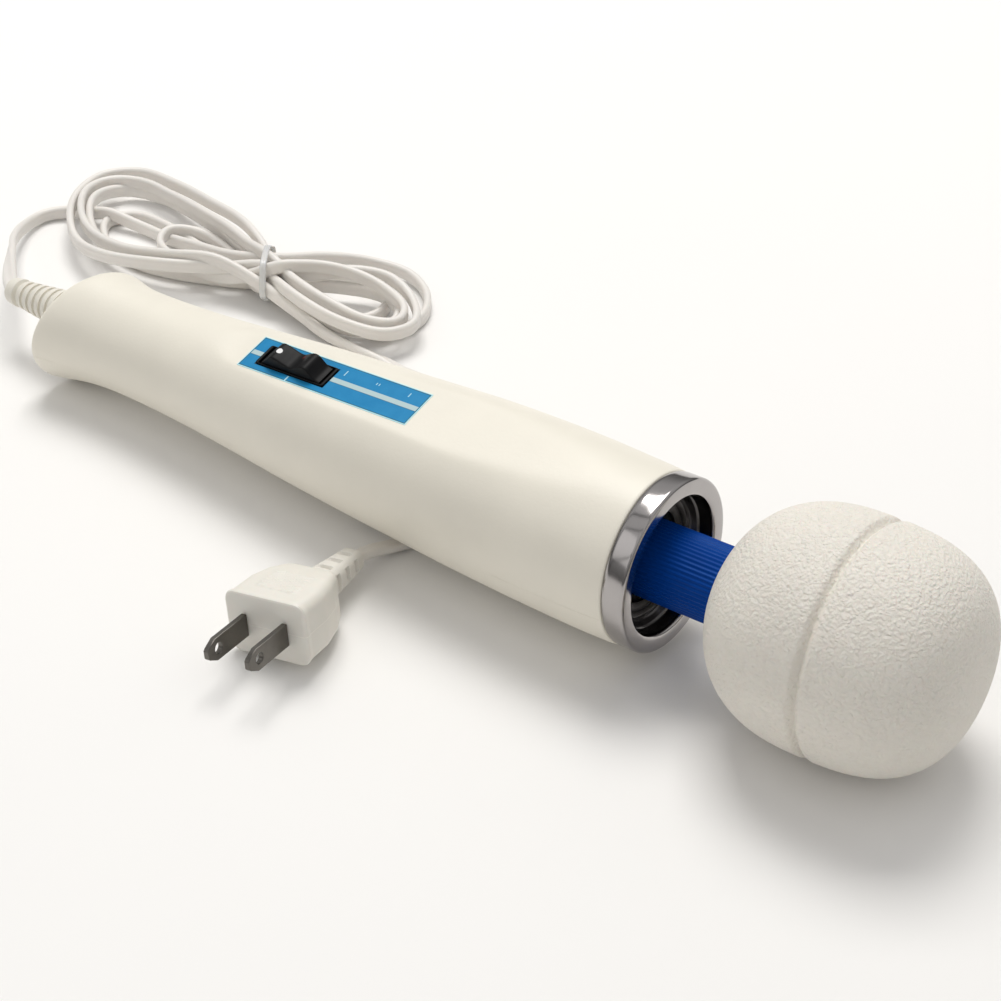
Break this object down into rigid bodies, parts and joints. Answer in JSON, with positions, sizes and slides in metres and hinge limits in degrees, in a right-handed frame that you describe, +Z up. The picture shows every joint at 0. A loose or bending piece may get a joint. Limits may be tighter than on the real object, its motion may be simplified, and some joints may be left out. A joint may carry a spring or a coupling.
{
  "type": "wand massager",
  "caption": "Corded handheld wand massager: tapered case with rocker switch, chrome collar, ribbed flexing neck, soft round vibrating head, tied flat cord and mains plug.",
  "frame": {"origin": "on the floor, under the centre of the wand itself (head tip to strain relief boot) as it lies at rest; the cord and plug are left out of that centre", "axes": "+Z up; +X along the wand towards the head; the switch faces up and 12 degrees towards -Y"},
  "size_m": [0.376, 0.1874, 0.0621],
  "materials": {
    "case_cream": "semi-gloss moulded cream plastic",
    "case_screw": "zinc plated",
    "label_blue": "printed blue strip",
    "switch_black": "black moulded",
    "terminal_brass": "stamped",
    "motor_steel": "plated",
    "dark_plastic": "moulded",
    "bearing_bronze": "sintered bronze",
    "magnet": "ferrite",
    "carbon": "carbon",
    "mount_rubber": "moulded rubber",
    "armature_iron": "laminated",
    "copper": "enamelled copper",
    "commutator": "segmented copper",
    "boot_cream": "soft moulded PVC",
    "cord_grey": "flat twin PVC cord",
    "tie_white": "plastic covered wire",
    "board_green": "printed board",
    "ceramic": "ceramic",
    "capacitor_sleeve": "sleeved",
    "chrome": "bright plated",
    "neck_blue": "ribbed soft blue PVC",
    "spring_steel": "spring wire",
    "head_vinyl": "pebbled vinyl",
    "head_plastic": "moulded",
    "weight_steel": "cast",
    "plug_brass": "stamped brass"
  },
  "bodies": {
    "handle": {"upper_case": "case_cream", "lower_case": "case_cream", "case_screw_front_left": "case_screw", "case_screw_front_right": "case_screw", "case_screw_rear_left": "case_screw", "case_screw_rear_right": "case_screw", "clamp_screw_left": "case_screw", "clamp_screw_right": "case_screw", "label_plate": "label_blue", "switch_housing": "switch_black", "switch_terminal_1": "terminal_brass", "switch_terminal_2": "terminal_brass", "switch_terminal_3": "terminal_brass", "motor_can": "motor_steel", "motor_end_cap": "dark_plastic", "brush_plate": "dark_plastic", "cord_clamp": "dark_plastic", "bridge_rectifier": "dark_plastic", "motor_front_bearing": "bearing_bronze", "motor_rear_bearing": "bearing_bronze", "motor_magnet_upper": "magnet", "motor_magnet_lower": "magnet", "motor_brush_left": "carbon", "motor_brush_right": "carbon", "motor_mount_front": "mount_rubber", "motor_mount_rear": "mount_rubber", "strain_relief_boot": "boot_cream", "plug_body": "boot_cream", "plug_boot": "boot_cream", "inner_cord": "cord_grey", "cord_lead": "cord_grey", "cord_tail": "cord_grey", "cord_hank": "cord_grey", "cord_tie": "tie_white", "rectifier_board": "board_green", "dropper_resistor": "ceramic", "smoothing_capacitor": "capacitor_sleeve", "collar_ring": "chrome", "collar_dish": "chrome", "plug_blade_left": "plug_brass", "plug_blade_right": "plug_brass"},
    "rocker": {"switch_rocker": "switch_black"},
    "rotor": {"motor_shaft": "motor_steel", "armature_core": "armature_iron", "winding_front": "copper", "winding_rear": "copper", "commutator": "commutator", "shaft_coupling": "mount_rubber", "drive_link": "motor_steel"},
    "neck": {"neck_sleeve": "neck_blue", "neck_spring": "spring_steel"},
    "head": {"head_cover": "head_vinyl", "head_shell_rear": "head_plastic", "head_shell_front": "head_plastic", "head_rear_bearing": "bearing_bronze", "head_front_bearing": "bearing_bronze"},
    "eccentric": {"eccentric_shaft": "motor_steel", "eccentric_weight": "weight_steel"}
  },
  "joints": [
    {"name": "switch_rock", "type": "hinge", "parent": "handle", "child": "rocker", "pos_m": [-0.04074, -0.00375, 0.03914], "axis": [-0.0119, 0.9781, 0.2076], "range_deg": [-10, 10]},
    {"name": "neck_pitch", "type": "hinge", "parent": "handle", "child": "neck", "pos_m": [0.07781, 0, 0.02823], "axis": [-0.0119, 0.9781, 0.2076], "range_deg": [-8, 8], "stiffness_Nm_per_rad": 6},
    {"name": "neck_yaw", "type": "hinge", "parent": "neck", "child": "head", "pos_m": [0.09479, 0, 0.0292], "axis": [-0.0558, -0.2079, 0.9766], "range_deg": [-8, 8], "stiffness_Nm_per_rad": 6},
    {"name": "rotor_spin", "type": "hinge", "parent": "handle", "child": "rotor", "pos_m": [0.03089, 0, 0.02555], "axis": [0.9984, 0, 0.057], "continuous": true},
    {"name": "eccentric_spin", "type": "hinge", "parent": "head", "child": "eccentric", "pos_m": [0.12873, 0, 0.03114], "axis": [0.9984, 0, 0.057], "continuous": true}
  ],
  "couplings": [
    {"joint": "rotor_spin", "follows": "eccentric_spin", "ratio": 1}
  ]
}
